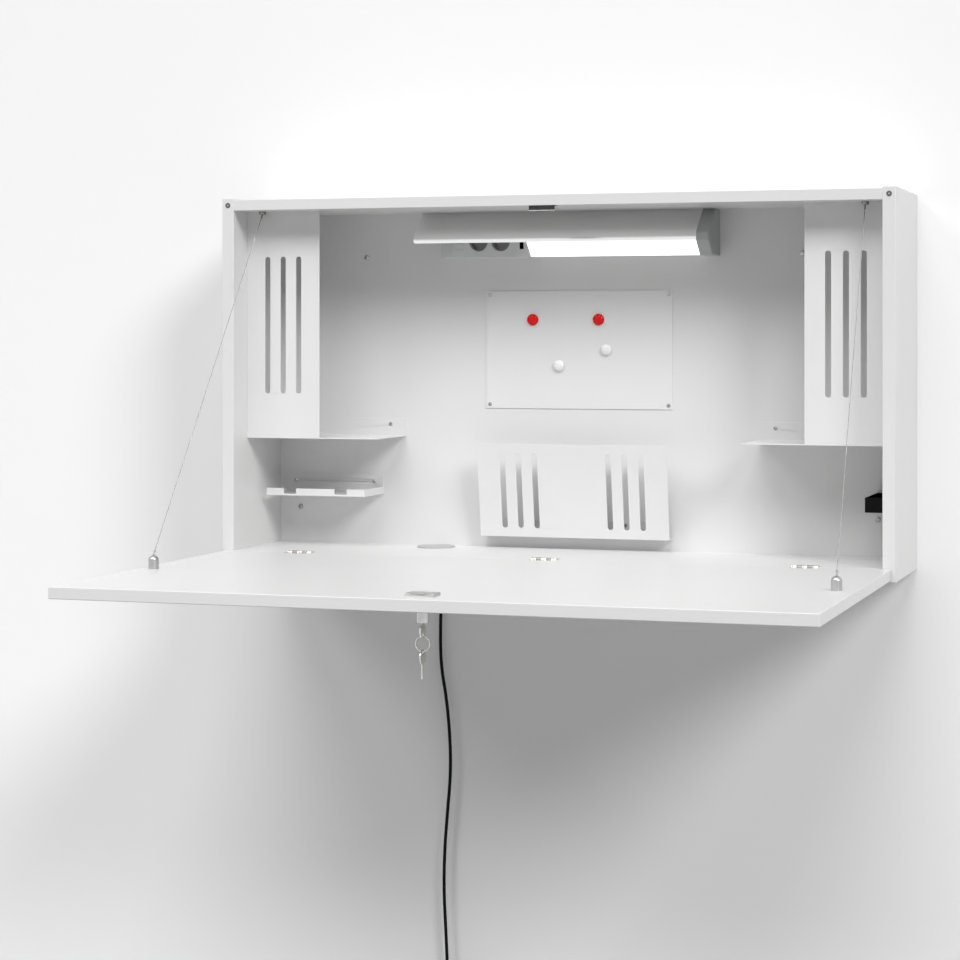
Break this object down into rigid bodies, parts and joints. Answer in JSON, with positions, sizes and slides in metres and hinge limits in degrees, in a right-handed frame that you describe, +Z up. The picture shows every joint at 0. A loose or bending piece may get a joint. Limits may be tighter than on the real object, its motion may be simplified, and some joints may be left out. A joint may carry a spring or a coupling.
{
  "type": "fold-down wall desk",
  "caption": "Shallow wall cabinet with a lockable front flap that folds down on wire stays as a writing top; slotted pockets, trays, magnet board, socket lamp with lead.",
  "frame": {"origin": "on the wall plane, half way between the two upper wall bolts", "axes": "+Z up, +Y into the wall, +X along the cabinet; the flap folds down towards -Y"},
  "size_m": [1.2, 0.8655, 1.598],
  "materials": {
    "white_board": "white melamine-faced chipboard, satin",
    "backing": "pale melamine-faced board",
    "beech": "plain beech",
    "white_steel": "white powder coat on folded sheet steel",
    "board_steel": "white enamelled sheet steel, slight gloss",
    "nickel": "bright nickel plate",
    "zinc": "zinc-plated steel",
    "chrome": "polished chrome",
    "steel_wire": "stranded stainless steel",
    "lamp_metal": "satin anodised aluminium",
    "opal": "opal diffuser",
    "grey_plastic": "moulded grey plastic",
    "dark_plastic": "black moulded plastic",
    "socket_plastic": "grey moulded socket well",
    "red_plastic": "glossy red cap",
    "white_plastic": "glossy white cap",
    "cord_black": "black flexible lead",
    "buffer_rubber": "grey rubber"
  },
  "bodies": {
    "cabinet": {"side_panel_left": "white_board", "side_panel_right": "white_board", "top_panel": "white_board", "bottom_panel": "white_board", "back_panel": "backing", "upper_hanging_rail": "backing", "lower_hanging_rail": "backing", "panel_dowels": "beech", "edge_buffers": "buffer_rubber", "strike_plate": "zinc", "pocket_left": "white_steel", "pocket_right": "white_steel", "hook_tray": "white_steel", "pen_tray": "dark_plastic", "document_holder": "white_steel", "magnet_board": "board_steel", "board_screws": "nickel", "bracket_screws": "nickel", "grommet_ring": "grey_plastic", "lamp_housing": "lamp_metal", "lamp_visor": "lamp_metal", "lamp_diffuser": "opal", "lamp_end_cap_right": "grey_plastic", "lamp_end_cap_left": "grey_plastic", "socket_module": "grey_plastic", "socket_inserts": "socket_plastic", "lead_gland": "cord_black", "lead_clips": "dark_plastic", "lamp_lead": "cord_black", "lead_coil": "cord_black", "lead_tail": "cord_black", "coil_tie": "dark_plastic", "mains_plug": "cord_black", "hinge_leaf_cabinet_left": "nickel", "hinge_leaf_cabinet_middle": "nickel", "hinge_leaf_cabinet_right": "nickel", "hinge_pins": "zinc", "cabinet_leaf_screws": "nickel", "stay_anchors": "chrome", "stay_wire_left": "steel_wire", "stay_wire_right": "steel_wire"},
    "flap": {"flap_board": "white_board", "hinge_leaf_flap_left": "nickel", "hinge_leaf_flap_middle": "nickel", "hinge_leaf_flap_right": "nickel", "flap_leaf_screws": "nickel", "stay_posts": "chrome", "lock_case": "nickel", "lock_cylinder": "nickel"},
    "lock_core": {"lock_plug": "nickel", "key_in_lock": "nickel"},
    "bolt": {"lock_bolt": "zinc"},
    "ring": {"key_ring": "zinc"},
    "spare": {"spare_key": "nickel"},
    "rocker": {"rocker_switch": "grey_plastic"},
    "lid": {"grommet_lid": "grey_plastic"},
    "magnet_red_left": {"red_magnet_left": "red_plastic"},
    "magnet_red_right": {"red_magnet_right": "red_plastic"},
    "magnet_white_upper": {"white_magnet_upper": "white_plastic"},
    "magnet_white_lower": {"white_magnet_lower": "white_plastic"}
  },
  "joints": [
    {"name": "flap_hinge", "type": "hinge", "parent": "cabinet", "child": "flap", "pos_m": [0, -0.241, -0.5245], "axis": [-1, 0, 0], "range_deg": [0, 90], "deforming": ["stay_wire_left", "stay_wire_right"]},
    {"name": "key_turn", "type": "hinge", "parent": "flap", "child": "lock_core", "pos_m": [-0.0045, -0.8185, -0.55], "axis": [0, 0, 1], "range_deg": [0, 90]},
    {"name": "bolt_slide", "type": "slide", "parent": "flap", "child": "bolt", "axis": [0, -1, 0], "range_m": [0, 0.008]},
    {"name": "ring_swing", "type": "hinge", "parent": "lock_core", "child": "ring", "pos_m": [-0.0045, -0.8185, -0.5838], "axis": [1, 0, 0], "range_deg": [-85, 85]},
    {"name": "spare_swing", "type": "hinge", "parent": "ring", "child": "spare", "pos_m": [-0.0045, -0.8185, -0.6058], "axis": [1, 0, 0], "range_deg": [-60, 60]},
    {"name": "lamp_switch", "type": "hinge", "parent": "cabinet", "child": "rocker", "pos_m": [-0.2064, -0.0893, 0.0167], "axis": [-1, 0, 0], "range_deg": [0, 12]},
    {"name": "lid_lift", "type": "slide", "parent": "cabinet", "child": "lid", "axis": [0, 0, 1], "range_m": [0, 0.04]},
    {"name": "magnet_red_left_pull", "type": "slide", "parent": "cabinet", "child": "magnet_red_left", "axis": [0, -1, 0], "range_m": [0, 0.04]},
    {"name": "magnet_red_right_pull", "type": "slide", "parent": "cabinet", "child": "magnet_red_right", "axis": [0, -1, 0], "range_m": [0, 0.04]},
    {"name": "magnet_white_upper_pull", "type": "slide", "parent": "cabinet", "child": "magnet_white_upper", "axis": [0, -1, 0], "range_m": [0, 0.04]},
    {"name": "magnet_white_lower_pull", "type": "slide", "parent": "cabinet", "child": "magnet_white_lower", "axis": [0, -1, 0], "range_m": [0, 0.04]}
  ],
  "couplings": [
    {"joint": "bolt_slide", "follows": "key_turn", "m_per_rad": 0.00509}
  ]
}
